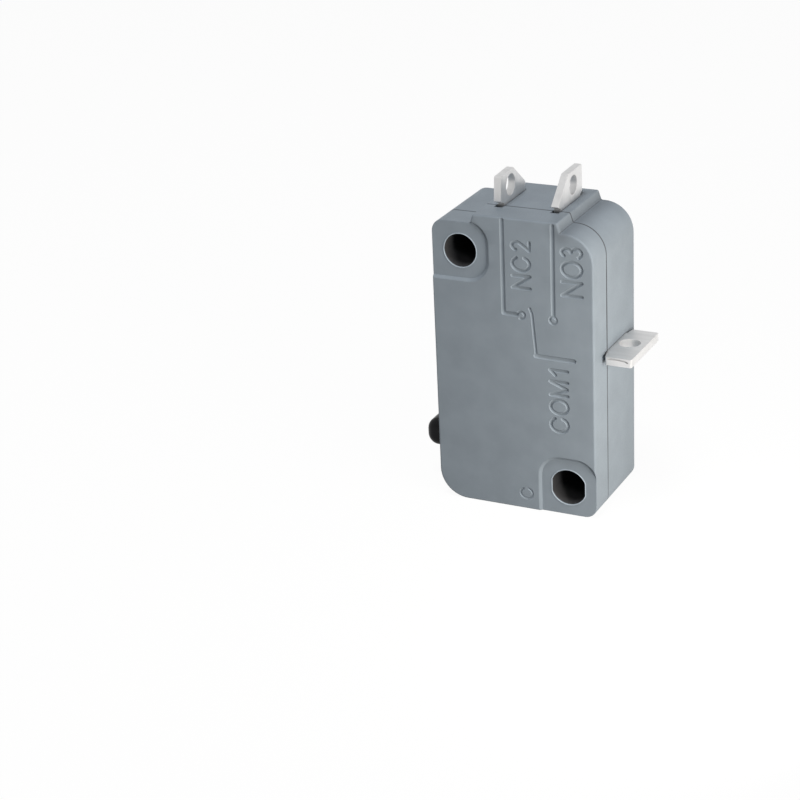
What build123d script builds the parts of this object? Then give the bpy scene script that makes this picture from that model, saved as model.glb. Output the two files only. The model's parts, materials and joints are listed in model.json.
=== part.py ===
from build123d import *
import os
from math import atan, cos, degrees, radians, sin

os.makedirs("parts", exist_ok=True)

# Axes, in mm: X across the housing (the plunger leaves towards -X), Y through its thickness
# (the cover is at -Y), Z along its length (the NC and NO blades leave at the top).

# Mounting holes: they fix the size of the housing
HOLE_PITCH_X = 10.3
HOLE_PITCH_Z = 22.2
HOLE_MARGIN = 2.8
HOLE_RADIUS = 1.6
SLOT_RADIUS = 1.75
SLOT_HALF_WIDTH = 1.64
BOSS_WALL = 0.7

# Housing halves
DEPTH = 10.3
COVER_DEPTH = 3.2
COVER_PLATE = 1.2
WALL = 1.3
TOP_WALL = 1.2
STEP_HEIGHT = 0.9
STEP_LEFT = -4.0
STEP_RIGHT = 4.8
STEP_DRAFT = 0.3
SMALL_CORNER = 1.2
LARGE_CORNER = 2.8
EDGE_ROUND = 0.18
STEP_ROUND = 0.2
PAD_DEPTH = 0.25
PAD_SLOPE = 0.25
PAD_CORNER = 2.2
GATE_RADIUS = 1.0
GATE_DEPTH = 0.1
ROOT_NOTCH = 0.6

# Pegs of the cover and their holes in the case
PEG_RADIUS = 0.6
PEG_LENGTH = 1.0
PEG_INSET = 2.45
PEG_FIT = 0.05
POST_WALL = 0.45

# Terminal blades
SHEET = 0.8
BLADE_SHEET = 0.7
NECK_FRONT = -1.85
NECK_BACK = 2.85
NC_X = -2.65
NO_X = 2.87
HEAD_RISE = 2.95
COM_Z = 15.0
COM_REACH = 2.9
COM_HEAD_START = 0.35
COM_HEAD_FRONT = -3.4
COM_HEAD_BACK = 3.85
COM_HOLE_OUT = 1.3
COM_HOLE_RADIUS = 1.0
NC_HOLE_RADIUS = 1.0
NO_HOLE_RADIUS = 0.9
HEAD_CORNER = 0.2
BEND_RADIUS = 0.3
SLOT_FIT = 0.05

# Common strip inside: down a leg to a forked shelf with two knife grooves
LEG_X = 1.8
LEG_BEND = 1.2
LUG_WIDTH = 2.65
SHELF_DROP = 3.6
SHELF_END = -1.1
FORK_WIDTH = 2.3
GROOVE_DEPTH = 0.2
ARM_X = -0.2
LEVER_X = -0.6
KNIFE_GAP = 0.03

# Contacts
MECH_Y = 0.5
CONTACT_DROP = 5.2
FIXED_RADIUS = 1.5
MOVING_RADIUS = 1.4
MOVING_HEIGHT = 0.75
MOVING_BEVEL = 0.2
MOVING_FLAT = 0.4
RIVET_RADIUS = 0.73
RIVET_HEAD = 0.3
RIVET_FIT = 0.02
BLADE_BELOW_CONTACT = 2.8
CONTACT_GAP = 0.05
CONTACT_TRAVEL = 1.2

# Contact arm
ARM_SHEET = 0.3
ARM_WIDTH = 4.0
ARM_ABOVE_CONTACT = 1.7
ARM_WINDOW_BELOW_CONTACT = 3.7
ARM_BRIDGE = 0.35

# Actuating lever
LEVER_SHEET = 0.5
LEVER_WIDTH = 3.6
LEVER_TILT = 5.55
LEVER_LENGTH = 6.9
LEVER_WINDOW = 3.6
LEVER_BRIDGE = 0.4

# Tension spring
WIRE = 0.26
COIL_RADIUS = 0.75
COIL_TURNS = 8
HOOK_ARC = 300
UPPER_HOOK = 0.5
LOWER_HOOK = 0.6
HOOK_HOLE_RADIUS = 0.4
HOOK_LIFT = 0.08

# Plunger
PLUNGER_Z = 4.7
BUTTON_Z = 4.6
PLUNGER_HEIGHT = 2.8
PLUNGER_DEPTH = 3.6
PLUNGER_OUT = 3.1
PLUNGER_TIP_ROUND = 1.15
PLUNGER_ROUND = 0.9
PLUNGER_FIT = 0.05
FLANGE_LIP = 0.35
FLANGE_THICKNESS = 0.6
STEM_HEIGHT = 1.8
STEM_DEPTH = 2.4
NOSE_RADIUS = 0.6

# Places that follow from the sizes above
x_right = HOLE_PITCH_X / 2 + HOLE_MARGIN
x_left = -x_right
y_front = -DEPTH / 2
y_back = DEPTH / 2
y_part = y_front + COVER_DEPTH
y_floor = y_back - WALL
z_top = HOLE_PITCH_Z + 2 * HOLE_MARGIN
z_step = z_top + STEP_HEIGHT
z_roof = z_top - TOP_WALL
hole_a = (-HOLE_PITCH_X / 2, HOLE_MARGIN + HOLE_PITCH_Z)
hole_b = (HOLE_PITCH_X / 2, HOLE_MARGIN)
boss_radius = HOLE_RADIUS + BOSS_WALL
pad_taper = degrees(atan(PAD_SLOPE / PAD_DEPTH))
contact_z = z_top - CONTACT_DROP
blade_end = contact_z - BLADE_BELOW_CONTACT
shelf_z = COM_Z - SHELF_DROP - SHEET
lug_x = x_right - WALL - SLOT_FIT - LUG_WIDTH
fork_front = MECH_Y - FORK_WIDTH / 2
fork_back = MECH_Y + FORK_WIDTH / 2
plunger_top = PLUNGER_HEIGHT / 2
post_top = BUTTON_Z - plunger_top - FLANGE_LIP - 0.15
peg_high = (x_right - PEG_INSET, z_top - PEG_INSET)
peg_low = (x_left + PEG_INSET, post_top - POST_WALL + 0.1 - PEG_RADIUS - PEG_FIT)


def front_plane(y):
    """Sketch plane at a depth y, seen from the front: across is X, up is Z."""
    return Plane(origin=(0, y, 0), x_dir=(1, 0, 0), z_dir=(0, -1, 0))


def side_plane(x):
    """Sketch plane at x, seen from the +X side: across is Y, up is Z."""
    return Plane(origin=(x, 0, 0), x_dir=(0, 1, 0), z_dir=(1, 0, 0))


def block(x0, x1, y0, y1, z0, z1, mode=Mode.ADD):
    """A box between two corners."""
    with Locations(((x0 + x1) / 2, (y0 + y1) / 2, (z0 + z1) / 2)):
        Box(x1 - x0, y1 - y0, z1 - z0, mode=mode)


def bar_y(place, radius, y0, y1, mode=Mode.ADD):
    """A round bar along Y at a place (x, z)."""
    with Locations(Location((place[0], (y0 + y1) / 2, place[1]), (90, 0, 0))):
        Cylinder(radius, y1 - y0, mode=mode)


def bar_x(place, radius, x0, x1, mode=Mode.ADD):
    """A round bar along X at a place (y, z)."""
    with Locations(Location(((x0 + x1) / 2, place[0], place[1]), (0, 90, 0))):
        Cylinder(radius, x1 - x0, mode=mode)


def round_at(sketch, place, radius):
    """Round the corner of a sketch that is nearest to a place."""
    corner = sketch.vertices().sort_by_distance((place[0], place[1], 0))[0]
    fillet(corner, radius)


def rivet_outline(face, seat, end):
    """Half outline of a contact rivet along X: its face, its seat on the blade, the far side."""
    way = 1 if end > seat else -1
    tip = end + way * RIVET_HEAD
    return [
        (face, 0),
        (face, FIXED_RADIUS - 0.2),
        (face + way * 0.15, FIXED_RADIUS),
        (seat, FIXED_RADIUS),
        (seat, RIVET_RADIUS),
        (end, RIVET_RADIUS),
        (end, RIVET_RADIUS + 0.35),
        (tip - way * 0.1, RIVET_RADIUS + 0.35),
        (tip, RIVET_RADIUS + 0.2),
        (tip, 0),
    ]


# Outline of both halves, with the raised step at the top
left_top = (x_left, z_top)
right_top = (x_right, z_top)
with BuildSketch(mode=Mode.PRIVATE) as outline:
    Polygon(
        (x_left, 0),
        (x_right, 0),
        right_top,
        (STEP_RIGHT, z_top),
        (STEP_RIGHT - STEP_DRAFT, z_step),
        (STEP_LEFT + STEP_DRAFT, z_step),
        (STEP_LEFT, z_top),
        left_top,
        align=None,
    )
    round_at(outline, left_top, SMALL_CORNER)
    round_at(outline, (x_right, 0), SMALL_CORNER)
    round_at(outline, right_top, LARGE_CORNER)
    round_at(outline, (x_left, 0), LARGE_CORNER)
    round_at(outline, (STEP_RIGHT, z_top), STEP_ROUND)
    round_at(outline, (STEP_LEFT, z_top), STEP_ROUND)
    round_at(outline, (STEP_RIGHT - STEP_DRAFT, z_step), STEP_ROUND)
    round_at(outline, (STEP_LEFT + STEP_DRAFT, z_step), STEP_ROUND)

# Hollow of both halves: bosses round the mounting holes and posts at the pegs stay solid
with BuildSketch(mode=Mode.PRIVATE) as hollow:
    Polygon(
        (x_left + WALL, WALL),
        (x_right - WALL, WALL),
        (x_right - WALL, z_roof),
        (x_left + WALL, z_roof),
        align=None,
    )
    with Locations(hole_a, hole_b):
        Circle(boss_radius, mode=Mode.SUBTRACT)
    Polygon(
        (peg_high[0] - PEG_RADIUS - POST_WALL, z_roof + 1),
        (peg_high[0] - PEG_RADIUS - POST_WALL, peg_high[1] - PEG_RADIUS - POST_WALL),
        (x_right, peg_high[1] - PEG_RADIUS - POST_WALL),
        (x_right, z_roof + 1),
        align=None,
        mode=Mode.SUBTRACT,
    )
    Polygon(
        (x_left, 0),
        (peg_low[0] + PEG_RADIUS + POST_WALL, 0),
        (peg_low[0] + PEG_RADIUS + POST_WALL, post_top),
        (x_left, post_top),
        align=None,
        mode=Mode.SUBTRACT,
    )

# The mounting slot has two flats
with BuildSketch(mode=Mode.PRIVATE) as flatted_hole:
    with Locations(hole_b):
        Circle(SLOT_RADIUS)
        Rectangle(2 * SLOT_HALF_WIDTH, 3 * SLOT_RADIUS, mode=Mode.INTERSECT)

# Cover: the thinner half
with BuildPart() as cover:
    with BuildSketch(front_plane(y_front)):
        add(outline.sketch)
    extrude(amount=-COVER_DEPTH)
    fillet(cover.faces().sort_by(Axis.Y)[0].edges(), EDGE_ROUND)
    with BuildSketch(front_plane(y_part)):
        add(hollow.sketch)
    extrude(amount=COVER_DEPTH - COVER_PLATE, mode=Mode.SUBTRACT)
    # notches in front of the blades, where they leave the housing
    for blade_x in (NC_X, NO_X):
        block(
            blade_x - SLOT_FIT, blade_x + BLADE_SHEET + SLOT_FIT, y_part - ROOT_NOTCH, y_part + 1,
            z_roof - 1, z_step + 1, mode=Mode.SUBTRACT,
        )
    block(
        x_right - WALL - 1, x_right + 1, y_part - ROOT_NOTCH, y_part + 1,
        COM_Z - SLOT_FIT, COM_Z + SHEET + SLOT_FIT, mode=Mode.SUBTRACT,
    )
    # pegs that locate the case
    for peg in (peg_high, peg_low):
        bar_y(peg, PEG_RADIUS, y_part - 0.5, y_part + PEG_LENGTH)
    # sunk pads round the two mounting holes, with sloped rims, open at the outer edges
    with BuildSketch(front_plane(y_front)) as cover_pads:
        Polygon(
            (x_left - 1, z_top + PAD_SLOPE),
            (x_left - 1, hole_a[1] - 2.85),
            (hole_a[0] + 2.95, hole_a[1] - 2.85),
            (hole_a[0] + 2.95, z_top + PAD_SLOPE),
            align=None,
        )
        round_at(cover_pads, (hole_a[0] + 2.95, hole_a[1] - 2.85), PAD_CORNER)
        round_at(cover_pads, (hole_a[0] + 2.95, z_top + PAD_SLOPE), PAD_CORNER)
        Polygon(
            (hole_b[0] - 2.9, -1),
            (x_right + PAD_SLOPE, -1),
            (x_right + PAD_SLOPE, hole_b[1] + 3.05),
            (hole_b[0] - 2.9, hole_b[1] + 3.05),
            align=None,
        )
        round_at(cover_pads, (hole_b[0] - 2.9, hole_b[1] + 3.05), PAD_CORNER)
        round_at(cover_pads, (x_right + PAD_SLOPE, hole_b[1] + 3.05), PAD_CORNER)
    extrude(amount=-PAD_DEPTH, taper=pad_taper, mode=Mode.SUBTRACT)
    # mounting holes
    bar_y(hole_a, HOLE_RADIUS, y_front - 1, y_part + 1, mode=Mode.SUBTRACT)
    with BuildSketch(front_plane(y_front - 1)):
        add(flatted_hole.sketch)
    extrude(amount=-(COVER_DEPTH + 2), mode=Mode.SUBTRACT)

# Case: the deeper half, which holds all the inner pieces
with BuildPart() as case:
    with BuildSketch(front_plane(y_part)):
        add(outline.sketch)
    extrude(amount=-(DEPTH - COVER_DEPTH))
    fillet(case.faces().sort_by(Axis.Y)[-1].edges(), EDGE_ROUND)
    with BuildSketch(front_plane(y_part)):
        add(hollow.sketch)
    extrude(amount=-(y_floor - y_part), mode=Mode.SUBTRACT)
    # guides that hold the lower ends of the NC and NO blades
    for blade_x in (NC_X, NO_X):
        block(
            blade_x - 1, blade_x + BLADE_SHEET + 0.9, 1.5, y_floor,
            blade_end - 0.6, blade_end + 0.6,
        )
    # rests above and below the common strip
    block(x_right - 4, x_right - 2, 0.5, y_floor, COM_Z - 0.9, COM_Z + SHEET + 0.9)
    # slots of the blades, open towards the cover
    for blade_x in (NC_X, NO_X):
        x0 = blade_x - SLOT_FIT
        x1 = blade_x + BLADE_SHEET + SLOT_FIT
        block(x0, x1, y_part, NECK_BACK + SLOT_FIT, z_roof - 1, z_step + 1, mode=Mode.SUBTRACT)
        block(x0, x1, y_part, y_floor, blade_end - SLOT_FIT, z_roof, mode=Mode.SUBTRACT)
    z0 = COM_Z - SLOT_FIT
    z1 = COM_Z + SHEET + SLOT_FIT
    block(x_right - 2, x_right + 1, y_part, NECK_BACK + SLOT_FIT, z0, z1, mode=Mode.SUBTRACT)
    block(x_right - 5, x_right - WALL, y_part, y_floor, z0, z1, mode=Mode.SUBTRACT)
    # slot of the plunger
    with BuildSketch(side_plane(x_left - 1)) as plunger_slot:
        Polygon(
            (y_part - 1, BUTTON_Z - plunger_top - PLUNGER_FIT),
            (PLUNGER_DEPTH / 2 + PLUNGER_FIT, BUTTON_Z - plunger_top - PLUNGER_FIT),
            (PLUNGER_DEPTH / 2 + PLUNGER_FIT, BUTTON_Z + plunger_top + PLUNGER_FIT),
            (y_part - 1, BUTTON_Z + plunger_top + PLUNGER_FIT),
            align=None,
        )
        for side in (-1, 1):
            foot = (PLUNGER_DEPTH / 2, BUTTON_Z + side * plunger_top)
            round_at(plunger_slot, foot, PLUNGER_ROUND)
    extrude(amount=WALL + 1, mode=Mode.SUBTRACT)
    # holes for the pegs
    for peg in (peg_high, peg_low):
        bar_y(peg, PEG_RADIUS + PEG_FIT, y_part - 1, y_part + PEG_LENGTH + 0.2, mode=Mode.SUBTRACT)
    # sunk pads and the round gate mark on the back
    with BuildSketch(front_plane(y_back)) as case_pads:
        for hole in (hole_a, hole_b):
            with Locations(hole):
                RectangleRounded(5.2, 5.2, PAD_CORNER)
    extrude(amount=PAD_DEPTH, taper=pad_taper, mode=Mode.SUBTRACT)
    bar_y((STEP_RIGHT - 0.1, z_top - 3.3), GATE_RADIUS, y_back - GATE_DEPTH, y_back + 1, mode=Mode.SUBTRACT)
    # mounting holes
    bar_y(hole_a, HOLE_RADIUS, y_part - 1, y_back + 1, mode=Mode.SUBTRACT)
    with BuildSketch(front_plane(y_part - 1)):
        add(flatted_hole.sketch)
    extrude(amount=-(DEPTH + 2), mode=Mode.SUBTRACT)

# NC blade: a neck in the slot, a shoulder under the roof and a head with one slanted side
head_top = z_step + HEAD_RISE
with BuildPart() as nc_terminal:
    with BuildSketch(side_plane(NC_X)) as nc_blade:
        Polygon(
            (NECK_FRONT, blade_end),
            (y_floor - SLOT_FIT, blade_end),
            (y_floor - SLOT_FIT, z_roof - SLOT_FIT),
            (NECK_BACK, z_roof - SLOT_FIT),
            (NECK_BACK, z_step + 0.35),
            (NECK_BACK + 0.25, z_step + 0.8),
            (0.4, head_top),
            (-2.5, head_top - 0.1),
            (-2.65, z_step + 0.5),
            (NECK_FRONT, z_step + 0.2),
            align=None,
        )
        round_at(nc_blade, (NECK_BACK + 0.25, z_step + 0.8), HEAD_CORNER)
        round_at(nc_blade, (0.4, head_top), HEAD_CORNER)
        round_at(nc_blade, (-2.5, head_top), HEAD_CORNER)
        round_at(nc_blade, (-2.65, z_step + 0.5), HEAD_CORNER / 2)
    extrude(amount=BLADE_SHEET)
    bar_x((-0.35, z_step + 1.55), NC_HOLE_RADIUS, NC_X - 1, NC_X + 2, mode=Mode.SUBTRACT)
    bar_x((MECH_Y, contact_z), RIVET_RADIUS + RIVET_FIT, NC_X - 1, NC_X + 2, mode=Mode.SUBTRACT)

# NO blade: the head is slanted on the other side
with BuildPart() as no_terminal:
    with BuildSketch(side_plane(NO_X)) as no_blade:
        Polygon(
            (NECK_FRONT, blade_end),
            (y_floor - SLOT_FIT, blade_end),
            (y_floor - SLOT_FIT, z_roof - SLOT_FIT),
            (NECK_BACK, z_roof - SLOT_FIT),
            (NECK_BACK, z_step + 0.2),
            (3.38, z_step + 0.4),
            (3.35, head_top),
            (0.05, head_top - 0.05),
            (-2.55, z_step + 0.5),
            (NECK_FRONT, z_step + 0.2),
            align=None,
        )
        round_at(no_blade, (3.38, z_step + 0.4), HEAD_CORNER / 2)
        round_at(no_blade, (3.35, head_top), HEAD_CORNER)
        round_at(no_blade, (0.05, head_top), HEAD_CORNER)
        round_at(no_blade, (-2.55, z_step + 0.5), HEAD_CORNER / 2)
    extrude(amount=BLADE_SHEET)
    bar_x((1.2, z_step + 1.55), NO_HOLE_RADIUS, NO_X - 1, NO_X + 2, mode=Mode.SUBTRACT)
    bar_x((MECH_Y, contact_z), RIVET_RADIUS + RIVET_FIT, NO_X - 1, NO_X + 2, mode=Mode.SUBTRACT)

# Common terminal: one strip from the outer head down to the forked shelf
with BuildPart() as common_terminal:
    with BuildSketch(Plane.XY.offset(COM_Z)) as com_blade:
        Polygon(
            (LEG_X + LEG_BEND, NECK_FRONT),
            (x_right, NECK_FRONT),
            (x_right + COM_HEAD_START, COM_HEAD_FRONT),
            (x_right + COM_REACH, COM_HEAD_FRONT),
            (x_right + COM_REACH, COM_HEAD_BACK),
            (x_right + COM_HEAD_START, COM_HEAD_BACK),
            (x_right + COM_HEAD_START / 2, NECK_BACK),
            (x_right - WALL - SLOT_FIT, NECK_BACK),
            (x_right - WALL - SLOT_FIT, y_floor - SLOT_FIT),
            (lug_x, y_floor - SLOT_FIT),
            (lug_x, NECK_BACK),
            (LEG_X + LEG_BEND, NECK_BACK),
            align=None,
        )
        round_at(com_blade, (x_right + COM_HEAD_START, COM_HEAD_FRONT), HEAD_CORNER)
        round_at(com_blade, (x_right + COM_REACH, COM_HEAD_FRONT), HEAD_CORNER)
        round_at(com_blade, (x_right + COM_REACH, COM_HEAD_BACK), HEAD_CORNER)
        round_at(com_blade, (x_right + COM_HEAD_START, COM_HEAD_BACK), HEAD_CORNER)
    extrude(amount=SHEET)
    # the bent strip, seen from the front
    with BuildSketch(front_plane(NECK_FRONT)) as com_strip:
        Polygon(
            (LEG_X + LEG_BEND + SHEET, COM_Z),
            (LEG_X + LEG_BEND + SHEET, COM_Z + SHEET),
            (LEG_X, COM_Z + SHEET),
            (LEG_X, shelf_z + SHEET),
            (SHELF_END, shelf_z + SHEET),
            (SHELF_END, shelf_z),
            (LEG_X + SHEET, shelf_z),
            (LEG_X + SHEET, COM_Z),
            align=None,
        )
        round_at(com_strip, (LEG_X, COM_Z + SHEET), BEND_RADIUS + SHEET)
        round_at(com_strip, (LEG_X + SHEET, COM_Z), BEND_RADIUS)
        round_at(com_strip, (LEG_X, shelf_z + SHEET), BEND_RADIUS)
        round_at(com_strip, (LEG_X + SHEET, shelf_z), BEND_RADIUS + SHEET)
    extrude(amount=-(NECK_BACK - NECK_FRONT))
    # the fork that the spring runs through
    block(
        SHELF_END - 1, LEG_X - 0.1, fork_front, fork_back,
        shelf_z - 1, shelf_z + SHEET + 1, mode=Mode.SUBTRACT,
    )
    # knife grooves: the arm stands in the upper one, the lever hangs from the lower one
    with BuildSketch(front_plane(NECK_FRONT - 1)):
        arm_top = shelf_z + SHEET
        Polygon(
            (ARM_X - 0.525, arm_top + 0.1),
            (ARM_X, arm_top - GROOVE_DEPTH),
            (ARM_X + 0.525, arm_top + 0.1),
            align=None,
        )
        Polygon(
            (LEVER_X - 0.6, shelf_z - 0.1),
            (LEVER_X, shelf_z + GROOVE_DEPTH),
            (LEVER_X + 0.6, shelf_z - 0.1),
            align=None,
        )
    extrude(amount=-(NECK_BACK - NECK_FRONT + 2), mode=Mode.SUBTRACT)
    with Locations((x_right + COM_HOLE_OUT, MECH_Y, COM_Z)):
        Cylinder(COM_HOLE_RADIUS, 4 * SHEET, mode=Mode.SUBTRACT)

# Fixed contacts, riveted into the blades
rivet_plane = Plane(origin=(0, MECH_Y, contact_z), x_dir=(1, 0, 0), z_dir=(0, -1, 0))
rivet_axis = Axis((0, MECH_Y, contact_z), (1, 0, 0))
arm_left = ARM_X - ARM_SHEET / 2
arm_right = ARM_X + ARM_SHEET / 2
moving_left = arm_left - MOVING_HEIGHT
moving_right = arm_right + MOVING_HEIGHT
nc_face = moving_left - CONTACT_GAP
no_face = moving_right + CONTACT_TRAVEL

with BuildPart() as nc_contact:
    with BuildSketch(rivet_plane):
        Polygon(*rivet_outline(nc_face, NC_X + BLADE_SHEET, NC_X), align=None)
    revolve(axis=rivet_axis)

with BuildPart() as no_contact:
    with BuildSketch(rivet_plane):
        Polygon(*rivet_outline(no_face, NO_X, NO_X + BLADE_SHEET), align=None)
    revolve(axis=rivet_axis)

# Moving contact: one rivet with a head on each side of the arm
bevel_left = moving_left + MOVING_BEVEL
bevel_right = moving_right - MOVING_BEVEL
shank_radius = RIVET_RADIUS - 0.15
with BuildPart() as moving_contact:
    with BuildSketch(rivet_plane):
        Polygon(
            (moving_left, 0),
            (moving_left, MOVING_FLAT),
            (bevel_left, MOVING_RADIUS),
            (arm_left, MOVING_RADIUS),
            (arm_left, shank_radius),
            (arm_right, shank_radius),
            (arm_right, MOVING_RADIUS),
            (bevel_right, MOVING_RADIUS),
            (moving_right, MOVING_FLAT),
            (moving_right, 0),
            align=None,
        )
    revolve(axis=rivet_axis)

# Contact arm: stands on two knife feet in the upper grooves
arm_foot = shelf_z + SHEET - GROOVE_DEPTH + KNIFE_GAP
arm_window = contact_z - ARM_WINDOW_BELOW_CONTACT
arm_hook = arm_window + ARM_BRIDGE / 2
with BuildPart() as contact_arm:
    with BuildSketch(side_plane(arm_left)) as arm_sheet:
        Polygon(
            (MECH_Y - ARM_WIDTH / 2, arm_foot + 0.25),
            (MECH_Y + ARM_WIDTH / 2, arm_foot + 0.25),
            (MECH_Y + ARM_WIDTH / 2, contact_z + ARM_ABOVE_CONTACT),
            (MECH_Y - ARM_WIDTH / 2, contact_z + ARM_ABOVE_CONTACT),
            align=None,
        )
        round_at(arm_sheet, (MECH_Y - ARM_WIDTH / 2, contact_z + ARM_ABOVE_CONTACT), 1)
        round_at(arm_sheet, (MECH_Y + ARM_WIDTH / 2, contact_z + ARM_ABOVE_CONTACT), 1)
    extrude(amount=ARM_SHEET)
    # the two knife edges
    with BuildSketch(front_plane(MECH_Y - ARM_WIDTH / 2)):
        Polygon(
            (arm_left, arm_foot + 0.25),
            (ARM_X - 0.03, arm_foot),
            (ARM_X + 0.03, arm_foot),
            (arm_right, arm_foot + 0.25),
            align=None,
        )
    extrude(amount=-ARM_WIDTH)
    # window for the spring and the hole for its upper hook
    block(arm_left - 1, arm_right + 1, fork_front, fork_back, arm_foot - 1, arm_window, mode=Mode.SUBTRACT)
    hook_hole = (MECH_Y, arm_window + ARM_BRIDGE + HOOK_HOLE_RADIUS)
    bar_x(hook_hole, HOOK_HOLE_RADIUS, arm_left - 1, arm_right + 1, mode=Mode.SUBTRACT)
    bar_x((MECH_Y, contact_z), shank_radius + RIVET_FIT, arm_left - 1, arm_right + 1, mode=Mode.SUBTRACT)

# Actuating lever: hangs on two knife edges in the lower grooves, leaning towards the plunger
lean = radians(LEVER_TILT)
lever_top = (LEVER_X, shelf_z + GROOVE_DEPTH - KNIFE_GAP)
lever_plane = Plane(
    origin=(lever_top[0] - cos(lean) * LEVER_SHEET / 2, 0, lever_top[1] + sin(lean) * LEVER_SHEET / 2),
    x_dir=(0, 1, 0),
    z_dir=(cos(lean), 0, -sin(lean)),
)
with BuildPart() as actuating_lever:
    with BuildSketch(lever_plane) as lever_sheet:
        Polygon(
            (MECH_Y - LEVER_WIDTH / 2, -LEVER_LENGTH),
            (MECH_Y + LEVER_WIDTH / 2, -LEVER_LENGTH),
            (MECH_Y + LEVER_WIDTH / 2, -0.3),
            (MECH_Y - LEVER_WIDTH / 2, -0.3),
            align=None,
        )
        round_at(lever_sheet, (MECH_Y - LEVER_WIDTH / 2, -LEVER_LENGTH), 0.8)
        round_at(lever_sheet, (MECH_Y + LEVER_WIDTH / 2, -LEVER_LENGTH), 0.8)
        with Locations((MECH_Y, -LEVER_WINDOW / 2)):
            Rectangle(FORK_WIDTH, LEVER_WINDOW, mode=Mode.SUBTRACT)
        with Locations((MECH_Y, -LEVER_WINDOW - LEVER_BRIDGE - HOOK_HOLE_RADIUS)):
            Circle(HOOK_HOLE_RADIUS, mode=Mode.SUBTRACT)
    extrude(amount=LEVER_SHEET)
    # the two knife edges, drawn across the sheet
    knife_plane = Plane(
        origin=(lever_top[0], MECH_Y - LEVER_WIDTH / 2, lever_top[1]),
        x_dir=(cos(lean), 0, -sin(lean)),
        z_dir=(0, -1, 0),
    )
    knife_width = (LEVER_WIDTH - FORK_WIDTH) / 2
    for start in (0, LEVER_WIDTH - knife_width):
        with BuildSketch(knife_plane.offset(-start)):
            Polygon(
                (-LEVER_SHEET / 2, -0.3),
                (LEVER_SHEET / 2, -0.3),
                (0.04, 0),
                (-0.04, 0),
                align=None,
            )
        extrude(amount=-knife_width)

# Tension spring: made along its own axis first, then hooked between arm and lever
hook_drop = LEVER_WINDOW + LEVER_BRIDGE / 2 - HOOK_LIFT
spring_top = Vector(ARM_X, MECH_Y, arm_hook)
spring_foot = Vector(lever_top[0] - hook_drop * sin(lean), MECH_Y, lever_top[1] - hook_drop * cos(lean))
spring_length = (spring_top - spring_foot).length
coil_start = LOWER_HOOK
coil_height = spring_length - UPPER_HOOK - LOWER_HOOK
coil_end = coil_start + coil_height
with BuildPart(mode=Mode.PRIVATE) as coil:
    with BuildLine() as coil_line:
        Helix(coil_height / COIL_TURNS, coil_height, COIL_RADIUS, center=(0, 0, coil_start))
    with BuildSketch(Plane(origin=coil_line.line @ 0, z_dir=coil_line.line % 0)):
        Rectangle(WIRE, WIRE)
    sweep(is_frenet=True)
with BuildPart(mode=Mode.PRIVATE) as lower_hook:
    with BuildSketch(Plane(origin=(0, 0, coil_start), x_dir=(1, 0, 0), z_dir=(0, 1, 0))):
        Rectangle(WIRE, WIRE)
    revolve(axis=Axis((0, 0, 0), (1, 0, 0)), revolution_arc=HOOK_ARC)
    bar_x((0, coil_start), 0.45 * WIRE, -0.03, COIL_RADIUS + 0.04)
with BuildPart(mode=Mode.PRIVATE) as upper_hook:
    with BuildSketch(Plane(origin=(0, 0, coil_end), x_dir=(1, 0, 0), z_dir=(0, 1, 0))):
        Rectangle(WIRE, WIRE)
    revolve(axis=Axis((0, 0, spring_length), (1, 0, 0)), revolution_arc=HOOK_ARC)
    bar_x((0, coil_end), 0.45 * WIRE, -0.03, COIL_RADIUS + 0.04)

spring_frame = Plane(origin=spring_foot, x_dir=(0, 1, 0), z_dir=spring_top - spring_foot)
with BuildPart() as tension_spring:
    add(spring_frame.from_local_coords(coil.part))
    add(spring_frame.from_local_coords(lower_hook.part))
    add(spring_frame.from_local_coords(upper_hook.part))

# Plunger: a rounded button, a flange behind the wall and a stem with a round nose
x_tip = x_left - PLUNGER_OUT
flange_x = x_left + WALL + PLUNGER_FIT
reach = LEVER_SHEET / 2 + NOSE_RADIUS + 0.05
nose_drop = lever_top[1] - PLUNGER_Z
nose_x = lever_top[0] - (reach + nose_drop * sin(lean)) / cos(lean)
with BuildPart() as plunger:
    with BuildSketch(front_plane(-PLUNGER_DEPTH / 2)) as button:
        Polygon(
            (x_tip, BUTTON_Z - plunger_top),
            (flange_x + 0.3, BUTTON_Z - plunger_top),
            (flange_x + 0.3, BUTTON_Z + plunger_top),
            (x_tip, BUTTON_Z + plunger_top),
            align=None,
        )
        round_at(button, (x_tip, BUTTON_Z - plunger_top), PLUNGER_TIP_ROUND)
        round_at(button, (x_tip, BUTTON_Z + plunger_top), PLUNGER_TIP_ROUND)
    extrude(amount=-PLUNGER_DEPTH)
    front_edges = plunger.faces().sort_by(Axis.Y)[0].edges().sort_by(Axis.X)[:-1]
    back_edges = plunger.faces().sort_by(Axis.Y)[-1].edges().sort_by(Axis.X)[:-1]
    fillet(front_edges + back_edges, PLUNGER_ROUND)
    block(
        flange_x, flange_x + FLANGE_THICKNESS,
        -PLUNGER_DEPTH / 2 - FLANGE_LIP, PLUNGER_DEPTH / 2 + FLANGE_LIP,
        BUTTON_Z - plunger_top - FLANGE_LIP, BUTTON_Z + plunger_top + FLANGE_LIP,
    )
    block(
        flange_x, nose_x, MECH_Y - STEM_DEPTH / 2, MECH_Y + STEM_DEPTH / 2,
        PLUNGER_Z - STEM_HEIGHT / 2, PLUNGER_Z + STEM_HEIGHT / 2,
    )
    bar_y((nose_x, PLUNGER_Z), NOSE_RADIUS, MECH_Y - STEM_DEPTH / 2, MECH_Y + STEM_DEPTH / 2)

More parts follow.
